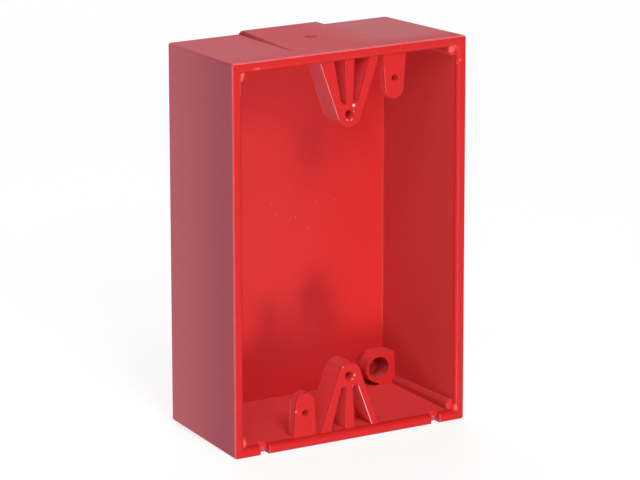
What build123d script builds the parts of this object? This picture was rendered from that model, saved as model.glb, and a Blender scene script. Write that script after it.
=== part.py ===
"""Surface-mount back box for a wall-mounted alarm device.

One open-fronted plastic moulding. It stands with its open front towards -Y and its back,
which goes against the wall, towards +Y. The origin is under the middle of the box, on the
plane of its lowest edge. Lengths are in millimetres.
"""
import math
import os

from build123d import *

os.makedirs("parts", exist_ok=True)

# Outer shell
WIDTH = 83.5  # across the front rim
HEIGHT = 124.0  # up the front rim
DEPTH = 43.5  # front rim to back face
SIDE_DRAFT = 2.0  # lean of each side wall over the depth
END_DRAFT = 1.2  # lean of the top and bottom walls over the depth
CORNER_RADIUS = 0.8  # long outer corners
BACK_EDGE_RADIUS = 0.5
RIM_EDGE_RADIUS = 0.6  # outer edge of the rim
RIM_INNER_RADIUS = 1.5  # where the rim turns into the cavity
RIM_BAND = 0.8  # depth of the undrafted band at the rim

# Walls and cavity
RIM_WALL = 3.3  # wall thickness at the rim
BACK_WALL = 3.0
INNER_SIDE_DRAFT = 1.4  # lean of each inner side face over the cavity depth
INNER_END_DRAFT = 0.6
CAVITY_DEPTH = DEPTH - BACK_WALL
INNER_HALF_WIDTH = WIDTH / 2 - RIM_WALL
INNER_HALF_HEIGHT = HEIGHT / 2 - RIM_WALL
INNER_BACK_RADIUS = 0.8
INTO_WALL = 1.5  # how far inner features run into the wall that carries them

# Brackets for the device screws: two legs and a middle rib under a round head
SCREW_SPACING = 83.34  # single-gang device screws, 3-9/32 in
SCREW_PILOT = 2.7
PILOT_FLARE = 0.35
BRACKET_SETBACK = 1.0  # screw faces behind the rim
HEAD_RADIUS = 4.2
LEG_LEAN = 19.8  # degrees, outer side of each leg
LEG_DEPTH = 8.6
WINDOW_TIP = 3.4  # from the screw centre to the narrow end of the window
WINDOW_HALF_TIP = 2.9
WINDOW_FEET = {1: (-5.8, 7.5), -1: (-8.6, 7.1)}  # where each bracket's windows end, at the wall
WINDOW_TIP_RADIUS = 0.8
RIB_HALF_TIP = 1.1
RIB_HALF_BASE = 1.9
RIB_DEPTH = 7.5
BRACKET_EDGE_RADIUS = 0.3

# Tabs for the second pair of device screws
TAB_X = 16.15
TAB_SCREW_HEIGHT = 51.2  # screw centres above and below mid height
TAB_PILOT = 2.3
TAB_TIP_RADIUS = 3.4
TAB_TIP_HEIGHT = 48.0  # centre of the round end, from mid height
TAB_LEAN = 4.3  # degrees, each side of a tab
TAB_DEPTH = 3.2

# Wall-screw bosses, in opposite corners of the back wall
BOSS_X = 31.3
BOSS_HEIGHT = 52.3  # centres above and below mid height
BOSS_RADIUS = 4.8
BOSS_BORE = 7.4
BOSS_STAND = 6.4  # above the inside of the back wall
WALL_SCREW_HOLE = 3.8

# Stiffening ribs along the four long inner corners
CORNER_RIB_X = 36.4  # inner face of each rib, from the middle of the box
CORNER_RIB_RISE = 3.1  # above the inner top or bottom face
CORNER_RIB_BEVEL_RUN = 0.8
CORNER_RIB_BEVEL_RISE = 1.2
CORNER_LAP = 0.5  # how far corner features run into the walls, which thin towards the back
CORNER_RIB_START = 1.5  # behind the rim
CORNER_RIB_END_RADIUS = 0.9  # at the rim's end of each rib

# Conduit pad on the top wall, level where the wall leans down
PAD_START = 3.0  # behind the rim, still under the wall's outer face
PAD_HALF_FRONT = 17.9
PAD_HALF_BACK = 15.0
PAD_DROP = 0.13  # below the top of the rim
PAD_EDGE_RADIUS = 2.0
PAD_ROOT_DEPTH = 3.0  # how far the pad's block runs down into the wall
DIMPLE_DEPTH_BACK = 24.0  # centre mark for a drill, behind the rim
DIMPLE_RADIUS = 2.0
DIMPLE_TIP_RADIUS = 0.2
DIMPLE_SINK = 0.7

# Weep notches through the bottom wall at the rim
NOTCH_X = 31.2
NOTCH_WIDTH = 3.2
NOTCH_DEPTH = 3.0
NOTCH_CLEAR = 0.3  # how far the notches are cut above the wall

FRONT = -DEPTH / 2
BACK = DEPTH / 2
MID = HEIGHT / 2
CORNER_X = INNER_HALF_WIDTH + CORNER_LAP
CORNER_Y = INNER_HALF_HEIGHT + CORNER_LAP
CORNER_RIB_FOOT = INNER_HALF_HEIGHT - CORNER_RIB_RISE
OUTER_SIDE_ANGLE = math.degrees(math.atan2(SIDE_DRAFT, DEPTH - RIM_BAND))
OUTER_END_ANGLE = math.degrees(math.atan2(END_DRAFT, DEPTH - RIM_BAND))
INNER_SIDE_ANGLE = math.degrees(math.atan2(INNER_SIDE_DRAFT, CAVITY_DEPTH))
INNER_END_ANGLE = math.degrees(math.atan2(INNER_END_DRAFT, CAVITY_DEPTH))
SCREW_HEIGHT = SCREW_SPACING / 2
ROOT_HEIGHT = INNER_HALF_HEIGHT + INTO_WALL
WINDOW_HEIGHT = SCREW_HEIGHT + WINDOW_TIP
BOSS_FACE = CAVITY_DEPTH - BOSS_STAND
PAD_TOP = HEIGHT - PAD_DROP


def behind_rim(depth, way=1):
    """A plane facing the front: its x is the box's x, its y is up from mid height.

    A way of -1 turns it half round, which gives each feature its partner across the box.
    """
    return Plane(origin=(0, FRONT + depth, MID), x_dir=(way, 0, 0), z_dir=(0, -1, 0))


def spot(depth, way, x, height):
    """Where a hole starts that is drilled straight back."""
    return behind_rim(depth, way).location * Location((x, height, 0))


def draw_tongue(x, height, radius, lean):
    """Draw a tongue with a round end, whose straight sides lean out to the wall."""
    angle = math.radians(lean)
    touch_x = radius * math.cos(angle)
    touch_y = -radius * math.sin(angle)
    rise = ROOT_HEIGHT - height
    half_foot = radius / math.cos(angle) + rise * math.tan(angle)
    with Locations((x, height)):
        Circle(radius)
        Polygon(
            (-half_foot, rise),
            (-touch_x, touch_y),
            (touch_x, touch_y),
            (half_foot, rise),
            align=None,
        )


def is_window_tip(corner):
    """True for the two corners at the narrow end of a bracket's window."""
    return abs(corner.Y - WINDOW_HEIGHT) < 0.01


def is_inner_side(face):
    """True for the cavity's left and right faces while they are still square to the rim."""
    return abs(abs(face.center().X) - INNER_HALF_WIDTH) < 0.01


def is_inner_end(face):
    """True for the cavity's top and bottom faces while they are still square to the rim."""
    return abs(abs(face.center().Z - MID) - INNER_HALF_HEIGHT) < 0.01


def is_rib_end_edge(edge):
    """True for the edges at the rim's end of a corner rib, away from the walls it joins."""
    middle = edge.center()
    across = abs(middle.X)
    rise = abs(middle.Z - MID)
    on_rib_end = abs(middle.Y - FRONT - CORNER_RIB_START) < 0.01
    in_corner = across > CORNER_RIB_X - 0.01 and rise > CORNER_RIB_FOOT - 0.01
    clear_of_walls = across < INNER_HALF_WIDTH - 0.3 and rise < INNER_HALF_HEIGHT - 0.3
    return on_rib_end and in_corner and clear_of_walls


def is_screw_face_edge(edge):
    """True for the edges of a bracket's or tab's screw face, away from the wall it stands on."""
    middle = edge.center()
    on_screw_face = abs(middle.Y - FRONT - BRACKET_SETBACK) < 0.01
    clear_of_corner_ribs = abs(middle.X) < CORNER_RIB_X - INTO_WALL
    clear_of_wall = abs(middle.Z - MID) < INNER_HALF_HEIGHT - INTO_WALL
    return on_screw_face and clear_of_corner_ribs and clear_of_wall


# The conduit pad's block, with its edges rounded before it joins the wall
with BuildPart() as pad_block:
    with BuildSketch(Plane.XY.offset(PAD_TOP)):
        Polygon(
            (-PAD_HALF_FRONT, FRONT + PAD_START),
            (PAD_HALF_FRONT, FRONT + PAD_START),
            (PAD_HALF_BACK, BACK),
            (-PAD_HALF_BACK, BACK),
            align=None,
        )
    extrude(amount=-PAD_ROOT_DEPTH)
    pad_rim = pad_block.edges().group_by(Axis.Z)[-1]
    fillet(pad_rim.filter_by(Axis.X, reverse=True), PAD_EDGE_RADIUS)
    pad_back = pad_block.faces().sort_by(Axis.Y)[-1]
    fillet(pad_back.edges().sort_by(Axis.Z)[1:], BACK_EDGE_RADIUS)


with BuildPart() as back_box:
    # Outer shell, which leans in towards the back from a straight band at the rim
    with BuildSketch(behind_rim(RIM_BAND)):
        Rectangle(WIDTH, HEIGHT)
    extrude(amount=RIM_BAND - DEPTH)
    draft(back_box.faces().filter_by(Axis.X), behind_rim(RIM_BAND), -OUTER_SIDE_ANGLE)
    draft(back_box.faces().filter_by(Axis.Z), behind_rim(RIM_BAND), -OUTER_END_ANGLE)
    fillet(back_box.edges().group_by(Axis.Y)[1], CORNER_RADIUS)
    extrude(back_box.faces().sort_by(Axis.Y)[0], amount=RIM_BAND)
    fillet(back_box.faces().sort_by(Axis.Y)[-1].edges(), BACK_EDGE_RADIUS)
    add(pad_block.part)

    # Centre mark in the pad, for drilling a conduit hole
    with Locations((0, FRONT + DIMPLE_DEPTH_BACK, PAD_TOP - DIMPLE_SINK)):
        Cone(
            DIMPLE_TIP_RADIUS,
            DIMPLE_RADIUS,
            DIMPLE_SINK,
            align=(Align.CENTER, Align.CENTER, Align.MIN),
            mode=Mode.SUBTRACT,
        )

    # Cavity, open at the front, leaning in towards the back
    with BuildSketch(behind_rim(0)):
        Rectangle(2 * INNER_HALF_WIDTH, 2 * INNER_HALF_HEIGHT)
    extrude(amount=-CAVITY_DEPTH, mode=Mode.SUBTRACT)
    draft(back_box.faces().filter_by(is_inner_side), behind_rim(0), INNER_SIDE_ANGLE)
    draft(back_box.faces().filter_by(is_inner_end), behind_rim(0), INNER_END_ANGLE)
    fillet(back_box.faces().filter_by(Axis.Y).sort_by(Axis.Y)[-2].edges(), INNER_BACK_RADIUS)

    # Rounded edges of the rim
    rim_face = back_box.faces().sort_by(Axis.Y)[0]
    fillet(rim_face.inner_wires()[0].edges(), RIM_INNER_RADIUS)
    rim_face = back_box.faces().sort_by(Axis.Y)[0]
    fillet(rim_face.outer_wire().edges(), RIM_EDGE_RADIUS)

    for way in (1, -1):
        left_foot, right_foot = WINDOW_FEET[way]

        # Bracket for a device screw: two legs spreading from a round head
        with BuildSketch(behind_rim(BRACKET_SETBACK, way)) as bracket:
            draw_tongue(0, SCREW_HEIGHT, HEAD_RADIUS, LEG_LEAN)
            Polygon(
                (-WINDOW_HALF_TIP, WINDOW_HEIGHT),
                (WINDOW_HALF_TIP, WINDOW_HEIGHT),
                (right_foot, ROOT_HEIGHT),
                (left_foot, ROOT_HEIGHT),
                align=None,
                mode=Mode.SUBTRACT,
            )
            fillet(bracket.vertices().filter_by(is_window_tip), WINDOW_TIP_RADIUS)
        extrude(amount=-LEG_DEPTH)

        # Middle rib of the bracket
        with BuildSketch(behind_rim(BRACKET_SETBACK, way)):
            Polygon(
                (-RIB_HALF_TIP, WINDOW_HEIGHT - INTO_WALL),
                (RIB_HALF_TIP, WINDOW_HEIGHT - INTO_WALL),
                (RIB_HALF_BASE, ROOT_HEIGHT),
                (-RIB_HALF_BASE, ROOT_HEIGHT),
                align=None,
            )
        extrude(amount=-RIB_DEPTH)

        # Tab beside the bracket
        with BuildSketch(behind_rim(BRACKET_SETBACK, way)):
            draw_tongue(TAB_X, TAB_TIP_HEIGHT, TAB_TIP_RADIUS, TAB_LEAN)
        extrude(amount=-TAB_DEPTH)

        # Stiffening ribs in this end's two corners
        for side in (-1, 1):
            with BuildSketch(behind_rim(CORNER_RIB_START, way)):
                Polygon(
                    (side * CORNER_RIB_X, CORNER_Y),
                    (side * CORNER_RIB_X, CORNER_RIB_FOOT + CORNER_RIB_BEVEL_RISE),
                    (side * (CORNER_RIB_X + CORNER_RIB_BEVEL_RUN), CORNER_RIB_FOOT),
                    (side * CORNER_X, CORNER_RIB_FOOT),
                    (side * CORNER_X, CORNER_Y),
                    align=None,
                )
            extrude(amount=CORNER_RIB_START - CAVITY_DEPTH - CORNER_LAP)

        # Boss for a wall screw, joined to its corner by a square block
        with BuildSketch(behind_rim(BOSS_FACE, way)):
            with Locations((-BOSS_X, BOSS_HEIGHT)):
                Circle(BOSS_RADIUS)
            with Locations((-CORNER_X, BOSS_HEIGHT - BOSS_RADIUS)):
                Rectangle(
                    CORNER_X - BOSS_X,
                    CORNER_Y - BOSS_HEIGHT + BOSS_RADIUS,
                    align=Align.MIN,
                )
        extrude(amount=-BOSS_STAND - INTO_WALL)

    # Round the rim's ends of the corner ribs and break the edges of the screw faces
    fillet(back_box.edges().filter_by(is_rib_end_edge), CORNER_RIB_END_RADIUS)
    fillet(back_box.edges().filter_by(is_screw_face_edge), BRACKET_EDGE_RADIUS)

    # Pilot holes and wall-screw holes
    for way in (1, -1):
        with Locations(spot(BRACKET_SETBACK, way, 0, SCREW_HEIGHT)):
            CounterSinkHole(SCREW_PILOT / 2, SCREW_PILOT / 2 + PILOT_FLARE, LEG_DEPTH)
        with Locations(spot(BRACKET_SETBACK, way, TAB_X, TAB_SCREW_HEIGHT)):
            Hole(TAB_PILOT / 2, TAB_DEPTH)
        with Locations(spot(BOSS_FACE, way, -BOSS_X, BOSS_HEIGHT)):
            CounterBoreHole(
                WALL_SCREW_HOLE / 2,
                BOSS_BORE / 2,
                BOSS_STAND,
                BOSS_STAND + BACK_WALL,
            )

    # Weep notches in the bottom of the rim
    with BuildSketch(behind_rim(0)):
        with Locations((-NOTCH_X, -MID), (NOTCH_X, -MID)):
            Rectangle(NOTCH_WIDTH, RIM_WALL + NOTCH_CLEAR, align=(Align.CENTER, Align.MIN))
    extrude(amount=-NOTCH_DEPTH, mode=Mode.SUBTRACT)

back_box.part.label = "back_box"
export_step(back_box.part, "parts/back_box.step")
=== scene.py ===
import math
from types import SimpleNamespace

import bpy
from mathutils import Matrix, Vector


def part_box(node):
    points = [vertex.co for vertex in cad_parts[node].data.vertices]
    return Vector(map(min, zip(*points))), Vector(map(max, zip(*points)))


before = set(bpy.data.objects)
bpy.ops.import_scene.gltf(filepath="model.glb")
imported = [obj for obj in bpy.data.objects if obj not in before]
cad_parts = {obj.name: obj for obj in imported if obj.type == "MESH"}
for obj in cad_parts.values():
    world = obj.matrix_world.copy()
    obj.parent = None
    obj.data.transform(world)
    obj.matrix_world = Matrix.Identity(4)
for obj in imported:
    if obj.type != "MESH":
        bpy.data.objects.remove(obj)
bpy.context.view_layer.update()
box_low, box_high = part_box("back_box")

MM = 0.001
CENTRE = (box_low + box_high) / 2
DEPTH = box_high.y - box_low.y
HALF_WIDTH = (box_high.x - box_low.x) / 2
HALF_HEIGHT = (box_high.z - box_low.z) / 2

# Distance from a wall's outer face to its middle, at the rim
WALL_MIDDLE = 1.65 * MM
# How far that middle leans in over the depth: in the side walls, and at top and bottom
SIDE_LEAN = 1.7 * MM / DEPTH
END_LEAN = 0.9 * MM / DEPTH


# ---------------------------------------------------------------- node helpers

# Vector Math operations whose result is a number
MEASURES = ("LENGTH", "DISTANCE", "DOT_PRODUCT")


class Nodes:
    """A small wrapper that adds nodes to one material's tree and links them."""

    def __init__(self, material):
        self.tree = material.node_tree
        self.tree.nodes.clear()

    def add(self, kind, inputs=None, **settings):
        node = self.tree.nodes.new(kind)
        for name, value in settings.items():
            setattr(node, name, value)
        for name, value in (inputs or {}).items():
            self.put(node.inputs[name], value)
        return node

    def put(self, socket, value):
        if isinstance(value, bpy.types.NodeSocket):
            self.tree.links.new(value, socket)
        else:
            socket.default_value = value

    def math(self, operation, a, b=0.0, c=0.0, clamp=False):
        node = self.add("ShaderNodeMath", operation=operation, use_clamp=clamp)
        for socket, value in zip(node.inputs, (a, b, c)):
            self.put(socket, value)
        return node.outputs[0]

    def ramp(self, value, low, high, to_low=0.0, to_high=1.0):
        node = self.add("ShaderNodeMapRange", interpolation_type="SMOOTHSTEP")
        for name, item in (
            ("Value", value),
            ("From Min", low),
            ("From Max", high),
            ("To Min", to_low),
            ("To Max", to_high),
        ):
            self.put(node.inputs[name], item)
        return node.outputs[0]

    def ramp_mm(self, value, low, high, to_low=0.0, to_high=1.0):
        """A ramp of a distance, with its ends in millimetres."""
        return self.ramp(value, low * MM, high * MM, to_low, to_high)

    def noise(self, where, scale, detail=2.0, roughness=0.5):
        node = self.add(
            "ShaderNodeTexNoise",
            {"Vector": where, "Scale": scale, "Detail": detail, "Roughness": roughness},
        )
        return node.outputs["Fac"]

    def vector(self, operation, a, b=(0.0, 0.0, 0.0)):
        node = self.add("ShaderNodeVectorMath", operation=operation)
        self.put(node.inputs[0], a)
        self.put(node.inputs["Scale"] if operation == "SCALE" else node.inputs[1], b)
        return node.outputs["Value" if operation in MEASURES else "Vector"]

    def parts(self, vector):
        return self.add("ShaderNodeSeparateXYZ", {"Vector": vector}).outputs

    def gap(self, value, middle):
        """How far a distance is from a middle in millimetres, either way."""
        return self.math("ABSOLUTE", self.math("SUBTRACT", value, middle * MM))

    def most(self, values):
        total = values[0]
        for value in values[1:]:
            total = self.math("MAXIMUM", total, value)
        return total

    def product(self, values):
        total = values[0]
        for value in values[1:]:
            total = self.math("MULTIPLY", total, value)
        return total

    def mix(self, factor, a, b):
        node = self.add("ShaderNodeMix", data_type="RGBA")
        self.put(node.inputs[0], factor)
        self.put(node.inputs[6], a)
        self.put(node.inputs[7], b)
        return node.outputs[2]

    def show(self, shader):
        output = self.add("ShaderNodeOutputMaterial")
        self.tree.links.new(shader.outputs[0], output.inputs["Surface"])


# ---------------------------------------------------------------- red plastic

# Outside: red with a painted sheen, paler on the sides towards the back and on the top beside the
# pad and to the right; the darkest is painted shade on the pad's rounded sides, also used for its
# centre mark
RED_TOP = (0.535, 0.062, 0.076, 1.0)
RED_TOP_PALE = (0.500, 0.084, 0.102, 1.0)
RED_TOP_RIGHT = (0.505, 0.122, 0.140, 1.0)
RED_SIDE_FRONT = (0.395, 0.059, 0.086, 1.0)
RED_SIDE_BACK = (0.520, 0.103, 0.131, 1.0)
RED_PAD_SHADE_AND_MARK = (0.34, 0.012, 0.024, 1.0)

# Inside and on the rim: lit and shaded tones of one red for each kind of face, painted light on
# the legs and boss faces, painted shade on the rim and creases, and a painted sheen on one leg
RED_BACK = (0.60, 0.025, 0.026, 1.0)
RED_WALL = (0.56, 0.046, 0.048, 1.0)
RED_FLOOR = (0.66, 0.052, 0.054, 1.0)
RED_LEG_LIT = (0.78, 0.055, 0.060, 1.0)
RED_RIM_SHADE = (0.515, 0.012, 0.013, 1.0)
RED_BOSS_LIT = (0.76, 0.034, 0.035, 1.0)
RED_CREASE_SHADE = (0.47, 0.016, 0.017, 1.0)
LEG_SHEEN = (0.63, 0.120, 0.150, 1.0)

# Painted highlight and shade on the edges, pale scuffs and scratches that are partly painted
# highlights, and painted glints
RED_EDGE_SHADE = (0.30, 0.014, 0.022, 1.0)
EDGE_HIGHLIGHT = (0.66, 0.150, 0.165, 1.0)
SCUFF_AND_HIGHLIGHT_PINK = (0.80, 0.115, 0.105, 1.0)
GLINT = (0.96, 0.520, 0.510, 1.0)

# Noise cells in a metre
GRAIN_SCALE = 2600.0
BREAKS_SCALE = 1500.0
FINE_SCALE = 900.0
LEG_SHEEN_SCALE = 500.0
SPECK_SCALE = 420.0
BLOTCH_SCALE = 330.0
BROAD_SCALE = 45.0

# Where a normal's part starts and ends counting as square to that axis
SQUARE_TO = (0.5, 0.85)

# Depths behind the rim, in mm
RIM_SKIN = 0.15
RIM_COLOUR_ENDS = (1.7, 1.15)
EDGE_LIGHT_AND_SHADE_ENDS = (0.9, 0.5)
TOP_SHEEN_STARTS = (2.0, 12.0)
BRACKET_ENDS = (11.0, 10.0)
BOSS_FACE = 34.1
BOSS_FACE_REACH = 0.4
BACK_CREASE_STARTS = (38.0, 39.5)
SPECKS_FROM_BACK = 3.3

# Distances from the middle of the width, in mm
PAD_SIDE = (15.0, 19.0)
GROOVE_REACH = 20.0
RIGHT_SHEEN = (0.0, 26.0)
LEG_REACH = 36.0

# The pad's centre mark: its place given as for the scuffs below, and the radii where it fades
# out, in mm
PAD_MARK = (0.0, 24.0, 124.0)
PAD_MARK_FADES = (2.1, 1.6)

# The upper bracket's left leg, with a painted sheen: which way it faces, where it is across, and
# its height, in mm
HAZY_LEG_WAY = (-0.94, 0.0, -0.34)
HAZY_LEG_MIDDLE = -8.0
HAZY_LEG_REACH = 5.0
HAZY_LEG_STARTS = (101.0, 104.0)

# The outer front edges, with a painted highlight along the top and left and painted shade right
# and below: how far from the box's own edges their colours fade out, in mm
TOP_EDGE_FADES = (0.5, 0.2)
LEFT_EDGE_FADES = (0.35, 0.1)
DARK_EDGE_FADES = (0.45, 0.15)

# The field of specks on the back wall: its middle, and where it fades out from that, in mm
SPECKS_ACROSS = 6.0
SPECKS_HEIGHT = 61.5
SPECKS_FADE_ACROSS = (20.0, 16.0)
SPECKS_FADE_HEIGHT = (8.5, 6.5)

# Pale scuffs at the rim's corners, partly painted highlights on the rounded rib ends: x, depth
# behind the rim and height of the middle, reach in x, y and z, strength
SCUFFS_AND_HIGHLIGHTS = (
    ((-37.3, 1.5, 119.9), (1.9, 2.0, 1.0), 1.0),
    ((-38.3, 1.0, 118.9), (1.3, 1.8, 1.1), 0.9),
    ((-32.8, 0.4, 121.7), (2.1, 0.8, 0.5), 0.75),
    ((37.4, 1.4, 120.2), (1.8, 1.8, 2.1), 1.0),
    ((39.4, 0.3, 116.4), (0.5, 0.6, 0.6), 0.7),
    ((38.7, 0.4, 115.5), (0.4, 0.6, 0.5), 0.6),
    ((-37.8, 1.4, 4.2), (1.1, 1.8, 1.7), 0.9),
    ((38.8, 0.6, 4.0), (1.0, 1.2, 1.2), 1.0),
)

# Faint pale lines along edges, partly scratches and partly painted highlights: start, end, radius
# and strength
SCRATCHES_AND_HIGHLIGHTS = (
    ((-39.0, 0.5, 118.5), (-39.0, 0.5, 114.0), 0.50, 0.7),
    ((39.2, 0.4, 24.5), (39.2, 0.4, 6.4), 0.28, 0.45),
    ((32.9, 0.1, 0.3), (32.9, 0.3, 4.0), 0.40, 0.6),
    ((-29.5, 0.1, 0.3), (-29.5, 0.3, 4.0), 0.40, 0.5),
    ((13.0, 1.0, 108.4), (12.2, 1.0, 117.0), 0.30, 0.4),
)

# Painted highlights on crisp edges that catch the light: start, end, radius and strength
BRIGHT_EDGES = (
    ((-10.45, 1.0, 120.3), (-3.97, 1.0, 102.3), 0.24, 0.50),
    ((-7.1, 9.6, 111.0), (-3.86, 9.6, 102.0), 0.26, 0.40),
    ((3.2, 1.0, 16.4), (8.0, 1.0, 3.6), 0.25, 0.65),
    ((5.5, 9.6, 9.2), (6.5, 9.6, 6.5), 0.35, 0.50),
    ((-19.5, 4.2, 14.4), (-20.1, 4.2, 3.2), 0.35, 0.50),
)

# Small painted glints on burrs, edges and in a bore: x, depth behind the rim and height, reach,
# strength
GLINT_SPOTS = (
    ((1.4, 1.0, 106.3), 0.55, 1.0),
    ((1.3, 1.0, 104.2), 0.40, 0.35),
    ((-0.9, 1.0, 102.0), 0.40, 0.30),
    ((0.6, 1.0, 101.9), 0.40, 0.30),
    ((1.7, 1.0, 20.3), 0.50, 0.40),
    ((1.0, 1.0, 19.1), 0.45, 0.25),
    ((1.2, 1.0, 16.8), 0.45, 0.30),
    ((-2.5, 1.0, 23.5), 0.45, 0.20),
    ((-19.2, 1.0, 16.8), 0.45, 0.40),
    ((-18.4, 1.0, 17.0), 0.40, 0.40),
    ((-19.5, 1.0, 11.7), 0.45, 0.30),
    ((28.5, 34.1, 10.2), 0.70, 0.50),
)


def place(spot):
    """A point from its distance right of the middle, behind the rim and above the bottom."""
    across, behind, height = spot
    return Vector((across * MM, box_low.y + behind * MM, box_low.z + height * MM))


def patch(n, where, ragged, spot, reach, strength):
    """Strength in the middle of an ellipsoid, fading to nothing at its ragged reach."""
    offset = n.vector("SUBTRACT", where, place(spot))
    scaled = n.vector("MULTIPLY", offset, tuple(1.0 / (length * MM) for length in reach))
    distance = n.math("ADD", n.vector("LENGTH", scaled), ragged)
    return n.ramp(distance, 1.0, 0.55, 0.0, strength)


def along_line(n, where, start, end, radius, strength):
    """Strength along a line from start to end, fading to nothing at its radius."""
    first = place(start)
    span = place(end) - first
    offset = n.vector("SUBTRACT", where, first)
    along = n.vector("DOT_PRODUCT", offset, span / span.length_squared)
    foot = n.vector("SCALE", span, n.math("ADD", along, 0.0, clamp=True))
    return n.ramp_mm(n.vector("DISTANCE", offset, foot), radius, 0.3 * radius, 0.0, strength)


def read_surface(n):
    """The sockets that the colours share: the place, the way it faces and the noises."""
    s = SimpleNamespace()
    s.where = n.add("ShaderNodeTexCoord").outputs["Object"]
    s.facing = n.add("ShaderNodeNewGeometry").outputs["True Normal"]
    s.x, y, s.z = n.parts(s.where)
    s.facing_x, facing_y, s.facing_z = n.parts(s.facing)
    s.turn_x = n.math("ABSOLUTE", s.facing_x)
    s.turn_y = n.math("ABSOLUTE", facing_y)
    s.turn_z = n.math("ABSOLUTE", s.facing_z)
    s.sideways = n.ramp(s.turn_x, *SQUARE_TO)
    s.across = n.math("ABSOLUTE", s.x)
    s.behind = n.math("SUBTRACT", y, box_low.y)
    s.outside = on_outside(n, s)
    s.grain = n.noise(s.where, GRAIN_SCALE, 3.0, 0.6)
    s.fine = n.noise(s.where, FINE_SCALE)
    s.blotch = n.noise(s.where, BLOTCH_SCALE, 3.0, 0.6)
    s.broad = n.noise(s.where, BROAD_SCALE)
    s.breaks = n.noise(s.where, BREAKS_SCALE, 3.0, 0.6)
    return s


def on_outside(n, s):
    """1 on the outer faces of the walls and the back, 0 inside and on the rim."""
    from_middle = n.math("ABSOLUTE", n.math("SUBTRACT", s.z, CENTRE.z))
    side_middle = n.math("MULTIPLY_ADD", s.behind, -SIDE_LEAN, HALF_WIDTH - WALL_MIDDLE)
    end_middle = n.math("MULTIPLY_ADD", s.behind, -END_LEAN, HALF_HEIGHT - WALL_MIDDLE)
    past_middle = n.most(
        (
            n.math("GREATER_THAN", s.across, side_middle),
            n.math("GREATER_THAN", from_middle, end_middle),
            n.math("GREATER_THAN", s.behind, DEPTH - WALL_MIDDLE),
        )
    )
    return n.math("MULTIPLY", past_middle, n.math("GREATER_THAN", s.behind, RIM_SKIN * MM))


def outside_colour(n, s):
    """Red with a painted sheen, paler towards the back of the sides and beside the pad on the
    top.
    """
    facing_up = n.math("GREATER_THAN", s.facing_z, 0.5)
    on_top = n.math("MULTIPLY", n.ramp_mm(s.behind, *TOP_SHEEN_STARTS), facing_up)
    off_pad = n.math("MULTIPLY", n.ramp_mm(s.across, *PAD_SIDE), on_top)
    painted_sheen = n.math("MULTIPLY_ADD", s.broad, 0.3, n.math("MULTIPLY", s.blotch, 0.4))
    painted_sheen = n.math("MULTIPLY_ADD", off_pad, 0.35, painted_sheen)
    colour = n.mix(n.ramp(painted_sheen, 0.30, 0.80), RED_TOP, RED_TOP_PALE)
    blotchy = n.ramp(s.blotch, 0.2, 0.6, 0.7, 1.0)
    right_sheen = n.product((on_top, n.ramp_mm(s.x, *RIGHT_SHEEN), blotchy))
    colour = n.mix(right_sheen, colour, RED_TOP_RIGHT)
    side = n.mix(n.ramp(s.behind, 0.0, DEPTH), RED_SIDE_FRONT, RED_SIDE_BACK)
    colour = n.mix(s.sideways, colour, side)

    # Painted shade on the pad's rounded sides where it meets the wall, and darker on its centre
    # mark
    groove_shade = n.product(
        (
            n.ramp(s.turn_x, 0.06, 0.30),
            n.math("GREATER_THAN", s.facing_z, 0.3),
            n.math("LESS_THAN", s.across, GROOVE_REACH * MM),
        )
    )
    from_mark = n.vector("SUBTRACT", s.where, place(PAD_MARK))
    from_mark = n.vector("LENGTH", n.vector("MULTIPLY", from_mark, (1.0, 1.0, 0.0)))
    mark = n.ramp_mm(from_mark, *PAD_MARK_FADES, 0.0, 0.75)
    shade_and_mark = n.math("MAXIMUM", groove_shade, n.math("MULTIPLY", mark, facing_up))
    return n.mix(shade_and_mark, colour, RED_PAD_SHADE_AND_MARK)


def inside_colour(n, s):
    """Cleaner red in lit and shaded tones, one for each kind of face."""
    # Painted light and shade: the back wall, the side walls and the floor each get their own tone
    colour = n.mix(s.sideways, RED_BACK, RED_WALL)
    colour = n.mix(n.ramp(s.turn_z, *SQUARE_TO), colour, RED_FLOOR)

    # Painted light on the left-facing sides of the brackets and tabs, then painted shade on the
    # rim
    in_bracket = n.ramp_mm(s.behind, *BRACKET_ENDS)
    leftward = n.ramp(s.facing_x, -0.75, -0.9)
    off_wall = n.math("LESS_THAN", s.across, LEG_REACH * MM)
    colour = n.mix(n.product((leftward, in_bracket, off_wall)), colour, RED_LEG_LIT)
    colour = n.mix(n.ramp_mm(s.behind, *RIM_COLOUR_ENDS), colour, RED_RIM_SHADE)

    # Painted light on the bosses' front faces, and painted shade in the rounded creases at the
    # back wall
    at_boss = n.math("LESS_THAN", n.gap(s.behind, BOSS_FACE), BOSS_FACE_REACH * MM)
    boss_face = n.math("MULTIPLY", at_boss, n.ramp(s.turn_y, 0.8, 0.95))
    colour = n.mix(boss_face, colour, RED_BOSS_LIT)
    rounded = n.ramp(n.most((s.turn_x, s.turn_y, s.turn_z)), 0.98, 0.88)
    crease_shade = n.math("MULTIPLY", rounded, n.ramp_mm(s.behind, *BACK_CREASE_STARTS))
    colour = n.mix(crease_shade, colour, RED_CREASE_SHADE)

    # Painted sheen on the upper bracket's left leg
    leg_sheen = n.product(
        (
            n.ramp(n.vector("DOT_PRODUCT", s.facing, HAZY_LEG_WAY), 0.9, 0.97),
            n.ramp_mm(s.z, *HAZY_LEG_STARTS),
            n.ramp(n.noise(s.where, LEG_SHEEN_SCALE, 4.0, 0.7), 0.35, 0.65, 0.35, 0.9),
            n.math("LESS_THAN", n.gap(s.x, HAZY_LEG_MIDDLE), HAZY_LEG_REACH * MM),
            in_bracket,
        )
    )
    return n.mix(leg_sheen, colour, LEG_SHEEN)


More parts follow.
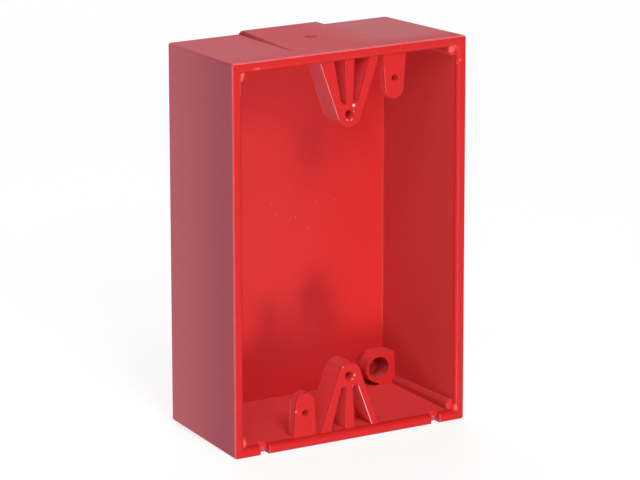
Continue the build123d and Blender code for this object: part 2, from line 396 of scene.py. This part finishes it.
def colour_edges(n, s, colour):
    """The outer front edges: a painted highlight along the top and left, painted shade right and
    below.
    """
    near_rim = n.ramp_mm(s.behind, *EDGE_LIGHT_AND_SHADE_ENDS)
    top_gap = n.math("SUBTRACT", box_high.z, s.z)
    left_gap = n.math("SUBTRACT", s.x, box_low.x)
    right_gap = n.math("SUBTRACT", box_high.x, s.x)
    bottom_gap = n.math("SUBTRACT", s.z, box_low.z)
    on_top_edge = n.ramp_mm(top_gap, *TOP_EDGE_FADES)
    on_left_edge = n.ramp_mm(left_gap, *LEFT_EDGE_FADES, 0.0, 0.5)
    edge_highlight = n.most((on_top_edge, on_left_edge))
    edge_highlight = n.product((edge_highlight, near_rim, n.ramp(s.fine, 0.3, 0.6, 0.6, 1.0)))
    on_right_edge = n.ramp_mm(right_gap, *DARK_EDGE_FADES)
    on_bottom_edge = n.ramp_mm(bottom_gap, *DARK_EDGE_FADES)
    shaded = n.product((n.most((on_right_edge, on_bottom_edge)), near_rim, 0.8))
    colour = n.mix(edge_highlight, colour, EDGE_HIGHLIGHT)
    return n.mix(shaded, colour, RED_EDGE_SHADE)


def add_wear_and_glints(n, s, colour):
    """Scuffs and scratches, partly painted highlights, painted glints on edges and round the
    holes, and pale specks on the back wall.
    """
    ragged = n.math("MULTIPLY_ADD", s.breaks, 2.6, -1.3)
    scuffs_and_highlights = n.most(
        [patch(n, s.where, ragged, *scuff) for scuff in SCUFFS_AND_HIGHLIGHTS]
        + [along_line(n, s.where, *line) for line in SCRATCHES_AND_HIGHLIGHTS]
    )
    scuffs_and_highlights = n.math("MULTIPLY", scuffs_and_highlights, n.ramp(s.breaks, 0.36, 0.52, 0.25, 1.0))
    glints = n.most(
        [patch(n, s.where, 0.0, spot, (size,) * 3, power) for spot, size, power in GLINT_SPOTS]
        + [along_line(n, s.where, *edge) for edge in BRIGHT_EDGES]
    )
    cells = n.add("ShaderNodeTexVoronoi", {"Vector": s.where, "Scale": SPECK_SCALE})
    chance = n.parts(cells.outputs["Color"])[0]
    specks = n.product(
        (
            n.ramp(cells.outputs["Distance"], 0.16, 0.08),
            n.math("GREATER_THAN", chance, 0.72),
            n.ramp_mm(n.gap(s.x, SPECKS_ACROSS), *SPECKS_FADE_ACROSS),
            n.ramp_mm(n.gap(s.z, SPECKS_HEIGHT), *SPECKS_FADE_HEIGHT),
            n.math("GREATER_THAN", s.behind, DEPTH - SPECKS_FROM_BACK * MM),
            n.math("SUBTRACT", 1.0, s.outside),
            0.55,
        )
    )
    colour = n.mix(n.math("MAXIMUM", scuffs_and_highlights, specks), colour, SCUFF_AND_HIGHLIGHT_PINK)
    return n.mix(glints, colour, GLINT)


def make_plastic():
    """Moulded red plastic: finely textured outside, smoother inside, coloured with painted light,
    shade, sheen and highlights, and some scuffs.
    """
    material = bpy.data.materials.new("red_plastic")
    material.use_nodes = True
    n = Nodes(material)
    s = read_surface(n)
    colour = n.mix(s.outside, inside_colour(n, s), outside_colour(n, s))
    colour = add_wear_and_glints(n, s, colour_edges(n, s, colour))

    smooth = n.ramp(s.fine, 0.3, 0.7, 0.36, 0.44)
    textured = n.ramp(s.grain, 0.3, 0.7, 0.50, 0.62)
    rougher = n.math("SUBTRACT", textured, smooth)
    relief = n.math("MULTIPLY_ADD", s.outside, 0.85, 0.15)
    bump = n.add(
        "ShaderNodeBump",
        {
            "Height": n.math("MULTIPLY", s.grain, relief),
            "Strength": 0.35,
            "Distance": 0.06 * MM,
        },
    )
    shader = n.add(
        "ShaderNodeBsdfPrincipled",
        {
            "Base Color": colour,
            "Roughness": n.math("MULTIPLY_ADD", s.outside, rougher, smooth),
            "Normal": bump.outputs[0],
            "IOR": 1.46,
            "Specular IOR Level": 0.20,
        },
    )
    n.show(shader)
    return material


plastic = make_plastic()
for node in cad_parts.values():
    for slot in node.material_slots:
        slot.material = plastic


# ---------------------------------------------------------------- floor and backdrop

WHITE = (1.0, 1.0, 1.0, 1.0)
FLOOR_BASE = 0.25
FLOOR_GLOW = 0.78
BACKDROP_BASE = 0.0
BACKDROP_GLOW = 0.98
BACKDROP_RADIUS = 2.6
# Distances from the box between which the floor's glow turns into the backdrop's
GLOW_CHANGES = (0.5, 1.8)


def make_pale(name, base, glow_near, glow_far):
    """Plain pale paper that glows a little, with the glow changing away from the box."""
    material = bpy.data.materials.new(name)
    material.use_nodes = True
    n = Nodes(material)
    away = n.vector("LENGTH", n.add("ShaderNodeTexCoord").outputs["Object"])
    shader = n.add(
        "ShaderNodeBsdfPrincipled",
        {
            "Base Color": (base, base, base, 1.0),
            "Roughness": 0.8,
            "Specular IOR Level": 0.0,
            "Emission Color": WHITE,
            "Emission Strength": n.ramp(away, *GLOW_CHANGES, glow_near, glow_far),
        },
    )
    n.show(shader)
    return material


# The floor casts no shadow, so that the low light reaches the box from under it
bpy.ops.mesh.primitive_circle_add(vertices=96, radius=BACKDROP_RADIUS, fill_type="NGON")
floor = bpy.context.object
floor.name = "floor"
floor.data.materials.append(make_pale("pale_floor", FLOOR_BASE, FLOOR_GLOW, BACKDROP_GLOW))
floor.visible_shadow = False

# The backdrop stands all round, well outside the lights, and gives no light of its own
bpy.ops.mesh.primitive_uv_sphere_add(segments=96, ring_count=48, radius=BACKDROP_RADIUS)
backdrop = bpy.context.object
backdrop.name = "backdrop"
backdrop.data.materials.append(
    make_pale("pale_backdrop", BACKDROP_BASE, BACKDROP_GLOW, BACKDROP_GLOW)
)
backdrop.visible_diffuse = False
backdrop.visible_glossy = False
backdrop.visible_shadow = False


# ---------------------------------------------------------------- lights

WORLD_STRENGTH = 0.01

# Name, azimuth to the right of the front, elevation, distance, size, power
SOFTBOXES = (
    ("key", -14.5, 33.5, 1.5, 0.40, 9.4),
    ("high", -15.0, 60.0, 1.5, 0.60, 7.8),
    ("key_left", -50.0, 45.0, 1.5, 0.60, 2.1),
    ("fill_left", -45.0, 10.0, 1.5, 0.60, 0.8),
    ("low", -16.0, -27.0, 1.5, 0.30, 9.9),
    ("top_back", 160.0, 55.0, 2.0, 1.0, 17.5),
    ("back_left", -125.0, 20.0, 2.0, 1.0, 4.0),
    ("back", 170.0, 15.0, 2.0, 1.6, 4.6),
)


def add_softbox(name, azimuth, elevation, distance, size, power):
    """A square softbox aimed at the box, at an azimuth measured to the right of its front."""
    light = bpy.data.lights.new(name, "AREA")
    light.shape = "SQUARE"
    light.size = size
    light.energy = power
    turn = math.radians(azimuth)
    rise = math.radians(elevation)
    way = Vector(
        (math.sin(turn) * math.cos(rise), -math.cos(turn) * math.cos(rise), math.sin(rise))
    )
    lamp = bpy.data.objects.new(name, light)
    lamp.matrix_world = Matrix.Translation(CENTRE + way * distance) @ (
        way.to_track_quat("Z", "Y").to_matrix().to_4x4()
    )
    lamp.visible_camera = False
    bpy.context.scene.collection.objects.link(lamp)


for softbox in SOFTBOXES:
    add_softbox(*softbox)

world = bpy.data.worlds.new("studio")
world.use_nodes = True
background = world.node_tree.nodes["Background"]
background.inputs["Color"].default_value = WHITE
background.inputs["Strength"].default_value = WORLD_STRENGTH
bpy.context.scene.world = world


# ---------------------------------------------------------------- camera

CAMERA_PLACE = (-0.61828, -1.02702, 0.36989)
CAMERA_RIGHT = Vector((0.85586, -0.51721, -0.00163))
CAMERA_UP = Vector((0.13105, 0.21381, 0.96804))
CAMERA_BACK = Vector((-0.50033, -0.82872, 0.25077))
SENSOR_WIDTH_MM = 36.0
FOCAL_LENGTH_MM = 222.65
FAR_CLIP = 30.0

camera_data = bpy.data.cameras.new("camera")
camera_data.sensor_width = SENSOR_WIDTH_MM
camera_data.lens = FOCAL_LENGTH_MM
camera_data.clip_end = FAR_CLIP
camera = bpy.data.objects.new("camera", camera_data)
turned = Matrix((CAMERA_RIGHT, CAMERA_UP, CAMERA_BACK)).transposed().to_4x4()
camera.matrix_world = Matrix.Translation(CAMERA_PLACE) @ turned
bpy.context.scene.collection.objects.link(camera)
bpy.context.scene.camera = camera

bpy.context.scene.view_settings.view_transform = "Standard"
